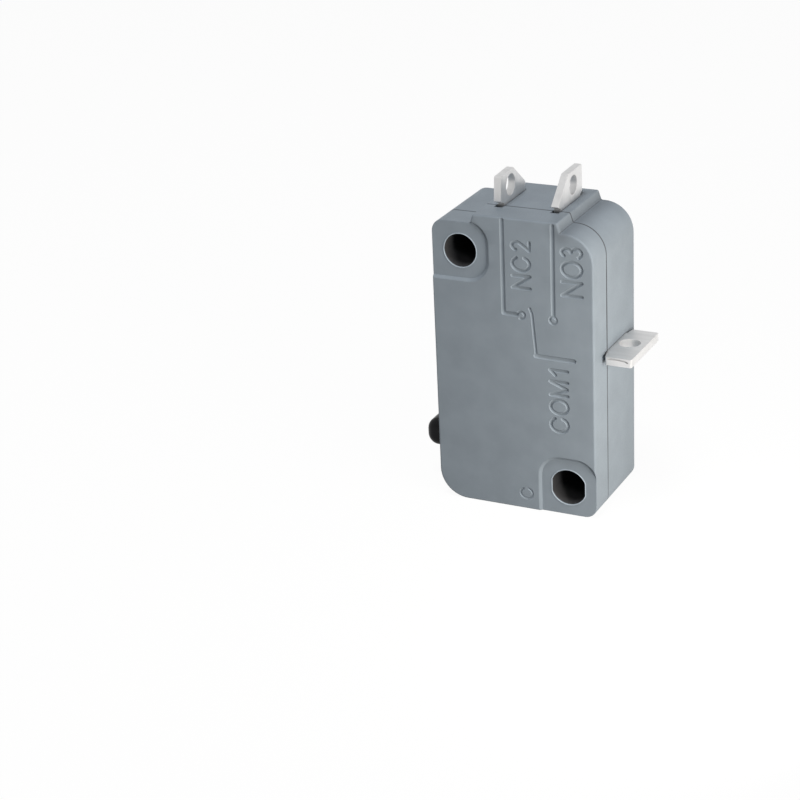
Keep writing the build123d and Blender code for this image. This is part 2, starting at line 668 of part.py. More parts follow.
cover.part.label = "cover"
case.part.label = "case"
nc_terminal.part.label = "nc_terminal"
no_terminal.part.label = "no_terminal"
common_terminal.part.label = "common_terminal"
nc_contact.part.label = "nc_contact"
no_contact.part.label = "no_contact"
moving_contact.part.label = "moving_contact"
contact_arm.part.label = "contact_arm"
actuating_lever.part.label = "actuating_lever"
tension_spring.part.label = "tension_spring"
plunger.part.label = "plunger"

export_step(cover.part, "parts/cover.step")
export_step(case.part, "parts/case.step")
export_step(nc_terminal.part, "parts/nc_terminal.step")
export_step(no_terminal.part, "parts/no_terminal.step")
export_step(common_terminal.part, "parts/common_terminal.step")
export_step(nc_contact.part, "parts/nc_contact.step")
export_step(no_contact.part, "parts/no_contact.step")
export_step(moving_contact.part, "parts/moving_contact.step")
export_step(contact_arm.part, "parts/contact_arm.step")
export_step(actuating_lever.part, "parts/actuating_lever.step")
export_step(tension_spring.part, "parts/tension_spring.step")
export_step(plunger.part, "parts/plunger.step")
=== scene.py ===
import json
import math

import bmesh
import bpy
from bpy.props import FloatProperty, FloatVectorProperty, PointerProperty
from mathutils import Matrix, Vector
from mathutils.bvhtree import BVHTree

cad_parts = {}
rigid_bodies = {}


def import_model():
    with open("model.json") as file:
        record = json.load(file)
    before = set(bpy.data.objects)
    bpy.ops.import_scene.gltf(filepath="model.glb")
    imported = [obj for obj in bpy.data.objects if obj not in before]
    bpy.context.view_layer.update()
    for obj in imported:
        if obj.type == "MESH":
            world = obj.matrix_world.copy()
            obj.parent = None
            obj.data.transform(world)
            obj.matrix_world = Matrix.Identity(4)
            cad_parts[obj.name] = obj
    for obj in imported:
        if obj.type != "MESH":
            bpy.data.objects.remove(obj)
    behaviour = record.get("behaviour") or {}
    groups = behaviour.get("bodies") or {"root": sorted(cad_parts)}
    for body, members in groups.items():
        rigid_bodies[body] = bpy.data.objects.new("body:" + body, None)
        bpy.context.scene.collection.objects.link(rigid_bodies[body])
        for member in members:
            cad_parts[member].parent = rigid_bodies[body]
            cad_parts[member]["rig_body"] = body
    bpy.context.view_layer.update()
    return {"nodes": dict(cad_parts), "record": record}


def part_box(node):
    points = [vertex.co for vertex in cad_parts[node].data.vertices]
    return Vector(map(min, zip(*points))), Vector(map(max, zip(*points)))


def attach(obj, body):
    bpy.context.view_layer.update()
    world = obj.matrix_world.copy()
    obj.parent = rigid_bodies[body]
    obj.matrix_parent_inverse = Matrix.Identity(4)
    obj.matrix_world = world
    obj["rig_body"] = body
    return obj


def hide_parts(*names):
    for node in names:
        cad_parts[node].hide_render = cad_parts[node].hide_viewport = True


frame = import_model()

bl_info = {
    "name": "Micro switch",
    "version": (1, 0, 0),
    "blender": (4, 5, 0),
    "location": "3D View > Sidebar > Switch",
    "description": "Dresses the packed micro switch: housing, blades, sunk symbol and letters",
    "category": "Object",
}

MM = 0.001

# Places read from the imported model, in metres
COVER_LOW, COVER_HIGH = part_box("cover")
CASE_LOW, CASE_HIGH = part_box("case")
FRONT = COVER_LOW.y
BACK = CASE_HIGH.y
PARTING = CASE_LOW.y
STEP_TOP = COVER_HIGH.z
COMMON_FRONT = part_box("common_terminal")[0].y
MOUNTS = {mount["name"]: mount for mount in frame["record"]["mounts"]}
HOLES = ("mounting_hole", "mounting_slot")

# Depth of the sunk pads round the mounting holes, and half the width between the slot's flats
PAD = 0.25 * MM
SLOT_FLAT = 1.64 * MM

# Foot of the step on the COM side, where painted shade sits: its x, and how far it lies under the
# top
STEP_FOOT = 4.8 * MM
STEP_DROP = 0.9 * MM

# Height just above the COM blade, where the painted shade on the parting line is darkest
ABOVE_COMMON = 19 * MM

# Angles between faces: under FLAT they are one face, over ROUNDED an outer edge is rounded,
# and over CRISP an edge is shaded as an edge
FLAT = math.radians(0.5)
ROUNDED = math.radians(30)
CRISP = math.radians(20)

# Noise of the moulded plastic, in features per metre
GRAIN = 9000
WAVES = 900
CLOUDS = 420


class HousingSettings(bpy.types.PropertyGroup):
    """Sizes and colours of the two moulded halves and the plunger."""

    colour: FloatVectorProperty(
        name="Plastic colour",
        description="Blue-grey of the moulded halves",
        subtype="COLOR",
        size=3,
        min=0.0,
        max=1.0,
        default=(0.22, 0.255, 0.29),
    )
    roughness: FloatProperty(
        name="Plastic roughness",
        description="How matte the moulded surface is",
        min=0.0,
        max=1.0,
        default=0.5,
    )
    edge: FloatProperty(
        name="Edge rounding",
        description="Width of the small rounding on every sharp outer edge",
        unit="LENGTH",
        default=0.06 * MM,
    )
    lip: FloatProperty(
        name="Hole lip",
        description="Height of the thin lip round each mounting hole",
        unit="LENGTH",
        default=0.045 * MM,
    )
    # The parting line is drawn as painted shade where the two halves meet
    seam: FloatProperty(
        name="Parting line",
        description="Width of the dark line where the two halves meet",
        unit="LENGTH",
        default=0.19 * MM,
    )
    plunger_colour: FloatVectorProperty(
        name="Plunger colour",
        description="Black of the plunger",
        subtype="COLOR",
        size=3,
        min=0.0,
        max=1.0,
        default=(0.008, 0.008, 0.009),
    )


class MarkingSettings(bpy.types.PropertyGroup):
    """Sizes of the sunk wiring symbol and the letters."""

    line_width: FloatProperty(
        name="Line width",
        description="Width of the grooves of the wiring symbol",
        unit="LENGTH",
        default=0.46 * MM,
    )
    line_depth: FloatProperty(
        name="Line depth",
        description="Depth of the grooves of the wiring symbol",
        unit="LENGTH",
        default=0.13 * MM,
    )
    letter_width: FloatProperty(
        name="Stroke width",
        description="Width of the grooves of the letters",
        unit="LENGTH",
        default=0.38 * MM,
    )
    letter_depth: FloatProperty(
        name="Letter depth",
        description="Depth of the grooves of the letters",
        unit="LENGTH",
        default=0.13 * MM,
    )


class BladeSettings(bpy.types.PropertyGroup):
    """Finish of the terminal blades."""

    colour: FloatVectorProperty(
        name="Tin colour",
        description="Colour of the tin plate",
        subtype="COLOR",
        size=3,
        min=0.0,
        max=1.0,
        default=(0.78, 0.78, 0.782),
    )
    edge: FloatProperty(
        name="Stamped edge",
        description="Rounding that stamping leaves on the blade's edges",
        unit="LENGTH",
        default=0.05 * MM,
    )


class StageSettings(bpy.types.PropertyGroup):
    """Light and camera."""

    side: FloatProperty(
        name="Side light",
        description="Power of the near light on the COM side, in watts",
        default=0.026,
    )
    groove: FloatProperty(
        name="Groove light",
        description="Power of the light from the right that fills the grooves, in watts",
        default=0.27,
    )
    front: FloatProperty(
        name="Front light",
        description="Power of the soft light in front and above, in watts",
        default=0.16,
    )
    top: FloatProperty(
        name="Top light",
        description="Power of the light above, in watts",
        default=0.72,
    )
    room: FloatProperty(
        name="Room light",
        description="Strength of the even light from all round",
        default=0.15,
    )
    azimuth: FloatProperty(
        name="Azimuth",
        description="Camera's turn round the switch, from its front towards the COM blade",
        subtype="ANGLE",
        default=math.radians(27.287),
    )
    elevation: FloatProperty(
        name="Elevation",
        description="Camera's height above the horizon",
        subtype="ANGLE",
        default=math.radians(23.257),
    )
    roll: FloatProperty(
        name="Roll",
        description="Camera's tilt about its own line of sight",
        subtype="ANGLE",
        default=math.radians(-2.838),
    )
    distance: FloatProperty(
        name="Distance",
        description="Camera's distance from the point that it looks at",
        unit="LENGTH",
        default=210.7 * MM,
    )
    lens: FloatProperty(
        name="Lens",
        description="Focal length in millimetres",
        default=96.55,
    )


# Node materials


def new_material(name, roughness, metallic=0.0):
    """A material with its shader, ready for more nodes."""
    material = bpy.data.materials.new(name)
    material.use_nodes = True
    shader = material.node_tree.nodes["Principled BSDF"]
    shader.inputs["Roughness"].default_value = roughness
    shader.inputs["Metallic"].default_value = metallic
    return material, material.node_tree, shader


def noise(tree, scale, detail=4.0, stretch=(1, 1, 1)):
    """Noise in the object's own coordinates; scale is in features per metre."""
    place = tree.nodes.new("ShaderNodeTexCoord")
    mapping = tree.nodes.new("ShaderNodeMapping")
    mapping.inputs["Scale"].default_value = stretch
    texture = tree.nodes.new("ShaderNodeTexNoise")
    texture.inputs["Scale"].default_value = scale
    texture.inputs["Detail"].default_value = detail
    tree.links.new(place.outputs["Object"], mapping.inputs["Vector"])
    tree.links.new(mapping.outputs["Vector"], texture.inputs["Vector"])
    return texture.outputs["Fac"]


def ramp(tree, value, low, high, colours):
    """Two colours or greys over a part of a value's range."""
    node = tree.nodes.new("ShaderNodeValToRGB")
    node.color_ramp.elements[0].position = low
    node.color_ramp.elements[1].position = high
    for element, colour in zip(node.color_ramp.elements, colours):
        element.color = (*colour, 1.0)
    tree.links.new(value, node.inputs["Fac"])
    return node.outputs["Color"]


def bump(tree, shader, value, depth, strength=1.0):
    """Relief of a given depth in metres, added to what the shader already has."""
    node = tree.nodes.new("ShaderNodeBump")
    node.inputs["Distance"].default_value = depth
    node.inputs["Strength"].default_value = strength
    tree.links.new(value, node.inputs["Height"])
    old = shader.inputs["Normal"]
    if old.is_linked:
        tree.links.new(old.links[0].from_socket, node.inputs["Normal"])
    tree.links.new(node.outputs["Normal"], old)


def grey(level):
    """A grey as a colour."""
    return (level, level, level)


def tinted(colour, factor):
    """A colour made darker or lighter, at most full."""
    return tuple(min(1.0, channel * factor) for channel in colour)


def maths(tree, operation, *values):
    """A chain of one calculation over sockets and plain numbers."""
    total = values[0]
    for value in values[1:]:
        node = tree.nodes.new("ShaderNodeMath")
        node.operation = operation
        for socket, entry in zip(node.inputs, (total, value)):
            if isinstance(entry, (int, float)):
                socket.default_value = entry
            else:
                tree.links.new(entry, socket)
        total = node.outputs[0]
    return total


def near(tree, distance, full, none):
    """1 up to a distance, falling softly to 0 at a larger one, both in metres."""
    node = tree.nodes.new("ShaderNodeMapRange")
    node.interpolation_type = "SMOOTHSTEP"
    node.inputs["From Min"].default_value = full
    node.inputs["From Max"].default_value = none
    node.inputs["To Min"].default_value = 1.0
    node.inputs["To Max"].default_value = 0.0
    tree.links.new(distance, node.inputs["Value"])
    return node.outputs["Result"]


def apart(tree, value, place):
    """Distance of a coordinate from a fixed place."""
    away = maths(tree, "SUBTRACT", value, place)
    return maths(tree, "MAXIMUM", away, maths(tree, "MULTIPLY", away, -1.0))


def reach(tree, across, along):
    """Length of two distances at right angles."""
    square = maths(
        tree,
        "ADD",
        maths(tree, "MULTIPLY", across, across),
        maths(tree, "MULTIPLY", along, along),
    )
    return maths(tree, "POWER", square, 0.5)


def painted_shade_places(tree):
    """Mask of painted shade where little light gets in: 1 inside the mounting holes, less on the
    seam and the step.
    """
    settings = bpy.context.scene.switch_housing
    place = tree.nodes.new("ShaderNodeTexCoord")
    split = tree.nodes.new("ShaderNodeSeparateXYZ")
    tree.links.new(place.outputs["Object"], split.inputs[0])
    x, y, z = split.outputs
    # Painted shade inside the mounting holes, up to their mouths
    inside = []
    for name in HOLES:
        centre = MOUNTS[name]["pos_m"]
        radius = MOUNTS[name]["dims"]["r_mm"] * MM
        away = reach(tree, apart(tree, x, centre[0]), apart(tree, z, centre[2]))
        inside.append(near(tree, away, radius + 0.01 * MM, radius + 0.04 * MM))
    mouth = near(tree, apart(tree, y, 0), BACK - PAD - 0.16 * MM, BACK - PAD - 0.04 * MM)
    holes = maths(tree, "MULTIPLY", maths(tree, "MAXIMUM", *inside), mouth)
    # Painted shade along the parting line, uneven and darkest above the COM blade
    seam = near(tree, apart(tree, y, PARTING), 0.3 * settings.seam, 0.75 * settings.seam)
    patchy = maths(tree, "MULTIPLY", near(tree, noise(tree, 160, 2), 0.35, 0.75), 0.3)
    middle = near(tree, apart(tree, z, ABOVE_COMMON), 3 * MM, 7 * MM)
    middle = maths(tree, "MULTIPLY", middle, 0.35)
    seam = maths(tree, "MULTIPLY", seam, maths(tree, "ADD", patchy, middle, 0.45))
    # Painted shade at the foot of the step: a thin dark line, and a soft painted shade round it
    foot = reach(tree, apart(tree, x, STEP_FOOT), apart(tree, z, STEP_TOP - STEP_DROP))
    line = maths(tree, "MULTIPLY", near(tree, foot, 0.03 * MM, 0.14 * MM), 0.6)
    shade = maths(tree, "MULTIPLY", near(tree, foot, 0.2 * MM, 1.8 * MM), 0.28)
    return maths(tree, "MAXIMUM", holes, seam, line, shade)


def paint_shade_in_recesses(tree, shader, tone):
    """Paint shade into a tone where little light gets in, and take the shine off there."""
    painted_shade = painted_shade_places(tree)
    darken = tree.nodes.new("ShaderNodeMix")
    darken.data_type = "RGBA"
    tree.links.new(painted_shade, darken.inputs["Factor"])
    tree.links.new(tone, darken.inputs["A"])
    # Colour of the painted shade
    darken.inputs["B"].default_value = (0.045, 0.045, 0.047, 1.0)
    shine = maths(tree, "MULTIPLY", maths(tree, "SUBTRACT", 1.0, painted_shade), 0.25)
    tree.links.new(shine, shader.inputs["Specular IOR Level"])
    return darken.outputs["Result"]


def moulded_plastic(name="moulded_plastic", shade=1.0, dull=True):
    """Blue-grey filled plastic with a fine eroded grain and soft clouds of tone; with dull set,
    painted shade darkens the holes, the seam and the step's foot.
    """
    settings = bpy.context.scene.switch_housing
    rough = settings.roughness
    material, tree, shader = new_material(name, rough)
    # A shade over 1 lightens the whole colour, as a painted highlight
    colour = tinted(tuple(settings.colour), shade)
    clouds = noise(tree, CLOUDS, 5)
    tone = ramp(tree, clouds, 0.3, 0.7, (tinted(colour, 0.95), tinted(colour, 1.06)))
    # Painted shade in the holes, on the seam and at the step's foot
    if dull:
        tone = paint_shade_in_recesses(tree, shader, tone)
    tree.links.new(tone, shader.inputs["Base Color"])
    grain = noise(tree, GRAIN, 2)
    gloss = ramp(tree, grain, 0.3, 0.7, (grey(rough - 0.06), grey(rough + 0.06)))
    tree.links.new(gloss, shader.inputs["Roughness"])
    bump(tree, shader, grain, 0.012 * MM, 0.6)
    bump(tree, shader, noise(tree, WAVES, 3), 0.02 * MM, 0.35)
    return material


def plunger_plastic():
    """Black plastic, a little polished by the cam."""
    settings = bpy.context.scene.switch_housing
    material, tree, shader = new_material("plunger_plastic", 0.34)
    shader.inputs["Specular IOR Level"].default_value = 0.12
    colour = tuple(settings.plunger_colour)
    tone = ramp(tree, noise(tree, 700), 0.3, 0.7, (tinted(colour, 0.8), tinted(colour, 1.3)))
    tree.links.new(tone, shader.inputs["Base Color"])
    gloss = ramp(tree, noise(tree, 2500), 0.3, 0.7, (grey(0.28), grey(0.4)))
    tree.links.new(gloss, shader.inputs["Roughness"])
    bump(tree, shader, noise(tree, 5000), 0.006 * MM, 0.5)
    return material


def sheet_metal(name, colour, dull, shiny, stretch, metallic=1.0):
    """Rolled sheet: streaks along one direction, small dents and uneven gloss."""
    material, tree, shader = new_material(name, dull, metallic)
    streaks = noise(tree, 1500, 5, stretch)
    tone = ramp(tree, streaks, 0.25, 0.75, (tinted(colour, 0.92), tinted(colour, 1.06)))
    tree.links.new(tone, shader.inputs["Base Color"])
    gloss = ramp(tree, noise(tree, 1300, 4), 0.3, 0.7, (grey(shiny), grey(dull)))
    tree.links.new(gloss, shader.inputs["Roughness"])
    bump(tree, shader, streaks, 0.003 * MM, 0.3)
    bump(tree, shader, noise(tree, 600, 2), 0.012 * MM, 0.2)
    return material


# Pieces


def open_air():
    """Everything that is packed, to find out which edges lie on the outside."""
    corners, faces = [], []
    for node in frame["nodes"].values():
        start = len(corners)
        corners.extend(node.matrix_world @ vertex.co for vertex in node.data.vertices)
        faces.extend([start + index for index in face.vertices] for face in node.data.polygons)
    return BVHTree.FromPolygons(corners, faces)


def crease(shape):
    """Keep clear edges crisp and shade everything else smoothly."""
    for face in shape.faces:
        face.smooth = True
    for edge in shape.edges:
        edge.smooth = len(edge.link_faces) == 2 and edge.calc_face_angle(0.0) < CRISP


def new_piece(name, mesh):
    """A mesh as an object of the scene."""
    piece = bpy.data.objects.new(name, mesh)
    bpy.context.scene.collection.objects.link(piece)
    return piece


def by_hole(place):
    """Whether a place lies on a mounting hole's wall, whose rim a lip covers."""
    for name in HOLES:
        centre = MOUNTS[name]["pos_m"]
        radius = MOUNTS[name]["dims"]["r_mm"] * MM
        if math.hypot(place.x - centre[0], place.z - centre[2]) < radius + 0.05 * MM:
            return True
    return False


def softened(node, name, material, width):
    """A finer copy of a CAD node with its outer edges rounded; it stands for the node."""
    source = frame["nodes"][node]
    around = open_air()
    mesh = bpy.data.meshes.new(name)
    shape = bmesh.new()
    shape.from_mesh(source.data)
    bmesh.ops.remove_doubles(shape, verts=shape.verts, dist=1e-7)
    bmesh.ops.dissolve_limit(shape, angle_limit=FLAT, verts=shape.verts, edges=shape.edges)
    # The rounding folds over in faces that run round a hole, so they are split first
    bmesh.ops.triangulate(shape, faces=[face for face in shape.faces if len(face.verts) > 4])
    outer = []
    for edge in shape.edges:
        if len(edge.link_faces) != 2 or not edge.is_convex or by_hole(edge.verts[0].co):
            continue
        if edge.calc_face_angle(0.0) < ROUNDED:
            continue
        way = (edge.link_faces[0].normal + edge.link_faces[1].normal).normalized()
        start = (edge.verts[0].co + edge.verts[1].co) / 2 + way * 0.02 * MM
        if around.ray_cast(start, way)[0] is None:
            outer.append(edge)
    bmesh.ops.bevel(
        shape,
        geom=outer,
        offset=width,
        offset_type="OFFSET",
        segments=2,
        profile=0.5,
        affect="EDGES",
        clamp_overlap=False,
    )
    crease(shape)
    shape.to_mesh(mesh)
    shape.free()
    piece = new_piece(name, mesh)
    mesh.materials.append(material)
    shading = piece.modifiers.new("shading", "WEIGHTED_NORMAL")
    shading.keep_sharp = True
    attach(piece, source["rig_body"])
    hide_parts(node)
    return piece


def tube(shape, path, radius, closed=False, sides=24):
    """Add a round tube along a path of equal depth; the ends of an open tube are domes."""
    depth = Vector((0, 1, 0))
    rings = []
    count = len(path)
    for index, place in enumerate(path):
        before = path[index - 1] if closed or index else place
        after = path[(index + 1) % count] if closed or index + 1 < count else place
        rings.append((place, (after - before).normalized(), radius))
    if not closed:
        for steps, end in ((range(1, 5), 0), (range(4, 0, -1), -1)):
            place, way, _ = rings[end]
            side = -1 if end == 0 else 1
            dome = []
            for step in steps:
                turn = math.radians(step * 22)
                middle = place + way * side * radius * math.sin(turn)
                dome.append((middle, way, radius * math.cos(turn)))
            if end == 0:
                rings = dome[::-1] + rings
            else:
                rings = rings + dome[::-1]
    loops = []
    for place, way, size in rings:
        across = way.cross(depth)
        loop = []
        for side in range(sides):
            turn = 2 * math.pi * side / sides
            offset = across * math.cos(turn) + depth * math.sin(turn)
            loop.append(shape.verts.new(place + offset * size))
        loops.append(loop)
    pairs = list(zip(loops, loops[1:]))
    if closed:
        pairs.append((loops[-1], loops[0]))
    for first, second in pairs:
        for side in range(sides):
            after = (side + 1) % sides
            shape.faces.new((first[side], first[after], second[after], second[side]))
    if not closed:
        shape.faces.new(loops[0])
        shape.faces.new(loops[-1][::-1])


def tubes(name, paths, radius, depth, closed=()):
    """Tubes along paths of places (x, z) in millimetres, at one depth; a new object."""
    mesh = bpy.data.meshes.new(name)
    shape = bmesh.new()
    for index, path in enumerate(paths):
        places = [Vector((x * MM, depth, z * MM)) for x, z in path]
        tube(shape, places, radius, index in closed)
    bmesh.ops.recalc_face_normals(shape, faces=shape.faces)
    crease(shape)
    shape.to_mesh(mesh)
    shape.free()
    return new_piece(name, mesh)


def engrave(target, paths, width, depth, face, closed=()):
    """Sink round-bottomed grooves into a piece, from a face at constant y that looks to -y."""
    piece = bpy.data.objects[target]
    radius = (width**2 / 4 + depth**2) / (2 * depth)
    cutter = tubes("cutter", paths, radius, face - radius + depth, closed)
    cutter.data.materials.append(piece.data.materials[0])
    cut = piece.modifiers.new("grooves", "BOOLEAN")
    cut.operation = "DIFFERENCE"
    cut.solver = "EXACT"
    cut.use_self = True
    cut.object = cutter
    # Only the cut is taken over here; the shading stays a modifier
    shading = piece.modifiers["shading"]
    shading.show_viewport = False
    bpy.context.view_layer.update()
    cut_piece = piece.evaluated_get(bpy.context.evaluated_depsgraph_get())
    shape = bmesh.new()
    shape.from_mesh(cut_piece.data)
    crease(shape)
    shape.to_mesh(piece.data)
    shape.free()
    piece.modifiers.remove(cut)
    shading.show_viewport = True
    bpy.data.objects.remove(cutter)


def bow(centre, half_width, half_height, start, end, steps=20):
    """Places on part of an ellipse; angles in degrees, anticlockwise seen from the front."""
    places = []
    for step in range(steps + 1):
        angle = math.radians(start + (end - start) * step / steps)
        places.append(
            (centre[0] + half_width * math.cos(angle), centre[1] + half_height * math.sin(angle))
        )
    return places


# Strokes of each character in a box one wide and one high
LETTERS = {
    "N": [[(0, 0), (0, 1)], [(0, 1), (1, 0)], [(1, 0), (1, 1)]],
    "C": [bow((0.5, 0.5), 0.5, 0.5, 32, 337)],
    "O": [bow((0.5, 0.5), 0.5, 0.5, 0, 345, 23)],
    "M": [[(0, 0), (0, 1)], [(0, 1), (0.5, 0.03)], [(0.5, 0.03), (1, 1)], [(1, 1), (1, 0)]],
    "1": [[(0.1, 0.7), (0.55, 1)], [(0.55, 1), (0.55, 0)]],
    "2": [
        bow((0.5, 0.72), 0.46, 0.28, 165, -35),
        [(0.877, 0.559), (0.02, 0)],
        [(0.02, 0), (1, 0)],
    ],
    "3": [bow((0.46, 0.76), 0.4, 0.24, 150, -80), bow((0.46, 0.27), 0.48, 0.27, 80, -150)],
}


def upright_word(characters, base, tall):
    """Strokes of a word that reads upwards, with the feet of its letters at x = base.

    Each character is given with the height where it starts and its width, in millimetres.
    Returns the strokes and the numbers of those that are closed rings.
    """
    strokes, closed = [], []
    for character, start, wide in characters:
        if character == "O":
            closed.append(len(strokes))
        for stroke in LETTERS[character]:
            strokes.append([(base - v * tall, start + u * wide) for u, v in stroke])
    return strokes, closed


class SWITCH_OT_housing(bpy.types.Operator):
    """Dress the cover and the case as matte moulded plastic with small rounded edges"""

    bl_idname = "switch.housing"
    bl_label = "Housing halves"

    def execute(self, context):
        settings = context.scene.switch_housing
        material = moulded_plastic()
        softened("cover", "cover_shell", material, settings.edge)
        softened("case", "case_shell", material, settings.edge)
        return {"FINISHED"}


class SWITCH_OT_hole_lips(bpy.types.Operator):
    """Add the thin lips that moulding leaves round the mounting holes"""

    bl_idname = "switch.hole_lips"
    bl_label = "Hole lips"

    def execute(self, context):
        lip = context.scene.switch_housing.lip
        # The lips are the same plastic, 1.6 times lighter as a painted highlight on their rims
        material = moulded_plastic("lip_painted_highlight", 1.6, dull=False)
        for name, flat in zip(HOLES, (None, SLOT_FLAT)):
            mount = MOUNTS[name]
            ring = self.ring(mount, flat, lip)
            for side, depth in (("front", FRONT + PAD), ("back", BACK - PAD)):
                piece = tubes(f"{name}_lip_{side}", [ring], lip, depth, closed=(0,))
                piece.data.materials.append(material)
                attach(piece, "housing")
        return {"FINISHED"}

    def ring(self, mount, flat, lip):
        """Places (x, z) in millimetres round a hole, just outside its rim."""
        radius = mount["dims"]["r_mm"] * MM + lip
        centre = mount["pos_m"]
        places = []
        for step in range(72):
            angle = 2 * math.pi * step / 72
            across = radius * math.cos(angle)
            if flat:
                across = max(-flat - lip, min(flat + lip, across))
            x = centre[0] + across
            z = centre[2] + radius * math.sin(angle)
            places.append((x / MM, z / MM))
        return places


class SWITCH_OT_wiring_symbol(bpy.types.Operator):
    """Sink the changeover symbol into the cover"""

    bl_idname = "switch.wiring_symbol"
    bl_label = "Wiring symbol"

    def execute(self, context):
        marking = context.scene.switch_marking
        paths = [
            [(-0.84, 28.45), (-0.86, 19.56)],
            [(-0.86, 19.56), (0.42, 19.56)],
            [(4.06, 28.4), (4.03, 19.78)],
            [(2.22, 15.72), (5.98, 15.68)],
        ]
        engrave("cover_shell", paths, marking.line_width, marking.line_depth, FRONT)
        contacts = [
            bow((0.86, 19.52), 0.34, 0.34, 170, -110, 16),
            bow((4.0, 19.42), 0.33, 0.33, 0, 345, 23),
            [(1.72, 20.28), (1.93, 19.75), (2.27, 15.8)],
        ]
        width = 0.68 * marking.line_width
        depth = 0.8 * marking.line_depth
        engrave("cover_shell", contacts, width, depth, FRONT, closed=(1,))
        return {"FINISHED"}


class SWITCH_OT_letters(bpy.types.Operator):
    """Sink the terminal names NC 2, NO 3 and COM 1 into the cover"""

    bl_idname = "switch.letters"
    bl_label = "Terminal names"

    def execute(self, context):
        marking = context.scene.switch_marking
        words = (
            ([("N", 22.17, 1.15), ("C", 23.83, 1.28), ("2", 25.78, 0.78)], 1.8, 1.7),
            ([("N", 21.97, 1.3), ("O", 23.77, 1.42), ("3", 25.66, 0.87)], 6.82, 1.9),
            (
                [("C", 8.45, 1.38), ("O", 10.26, 1.36), ("M", 12.1, 1.33), ("1", 13.98, 1.04)],
                5.3,
                1.7,
            ),
        )
        strokes, closed = [], []
        for characters, base, tall in words:
            more, rings = upright_word(characters, base, tall)
            closed.extend(len(strokes) + ring for ring in rings)
            strokes.extend(more)
        width, depth = marking.letter_width, marking.letter_depth
        engrave("cover_shell", strokes, width, depth, FRONT, closed)
        small, _ = upright_word([("C", 1.1, 1.05)], 1.6, 1.2)
        engrave("cover_shell", small, 0.7 * width, 0.7 * depth, FRONT)
        return {"FINISHED"}


class SWITCH_OT_blades(bpy.types.Operator):
    """Dress the three terminal blades as tinned stampings"""

    bl_idname = "switch.blades"
    bl_label = "Terminal blades"

    def execute(self, context):
        settings = context.scene.switch_blades
        colour = tuple(settings.colour)
        upright = sheet_metal("tin_plate_upright", colour, 0.44, 0.32, (1, 1, 0.12), 0.82)
        level = sheet_metal("tin_plate_level", colour, 0.5, 0.4, (0.12, 1, 1), 0.75)
        softened("nc_terminal", "nc_blade", upright, settings.edge)
        softened("no_terminal", "no_blade", upright, settings.edge)
        softened("common_terminal", "common_blade", level, settings.edge)
        # The line that shearing leaves along the COM blade's front edge
        shear = [[(8.6, 15.66), (9.4, 15.66), (10.1, 15.62), (10.45, 15.48)]]
        engrave("common_blade", shear, 0.15 * MM, 0.2 * MM, COMMON_FRONT)
        return {"FINISHED"}


class SWITCH_OT_plunger(bpy.types.Operator):
    """Dress the plunger as black plastic"""

    bl_idname = "switch.plunger"
    bl_label = "Plunger"

    def execute(self, context):
        softened("plunger", "plunger_button", plunger_plastic(), 0.05 * MM)
        return {"FINISHED"}


class SWITCH_OT_contacts(bpy.types.Operator):
    """Dress the contacts, the arm, the lever and the spring inside"""

    bl_idname = "switch.contacts"
    bl_label = "Inner pieces"

    def execute(self, context):
        silver = sheet_metal("contact_silver", (0.86, 0.85, 0.82), 0.36, 0.22, (1, 1, 1))
        copper = sheet_metal("arm_copper", (0.72, 0.46, 0.30), 0.4, 0.28, (1, 1, 0.1))
        steel = sheet_metal("lever_steel", (0.60, 0.60, 0.60), 0.42, 0.3, (1, 1, 0.1))
        wire = sheet_metal("spring_wire", (0.50, 0.51, 0.52), 0.35, 0.22, (1, 1, 1))
        finishes = {
            "nc_contact": silver,
            "no_contact": silver,
            "moving_contact": silver,
            "contact_arm": copper,
            "actuating_lever": steel,
            "tension_spring": wire,
        }
        for node, material in finishes.items():
            slots = frame["nodes"][node].data.materials
            slots.clear()
            slots.append(material)
        return {"FINISHED"}


# The stage: colours of the lamps, the point that they face, and the point in the picture's middle
WHITE = (1.0, 1.0, 1.0)
WARM = (1.0, 0.94, 0.85)
LAMPS_FACE = Vector((0, 0, 14 * MM))
CAMERA_FACES = Vector((-14.580 * MM, 0, 6.746 * MM))

# The floor: half its side, and how far it lies under the switch
FLOOR_HALF = 1.5
FLOOR_GAP = 0.02 * MM


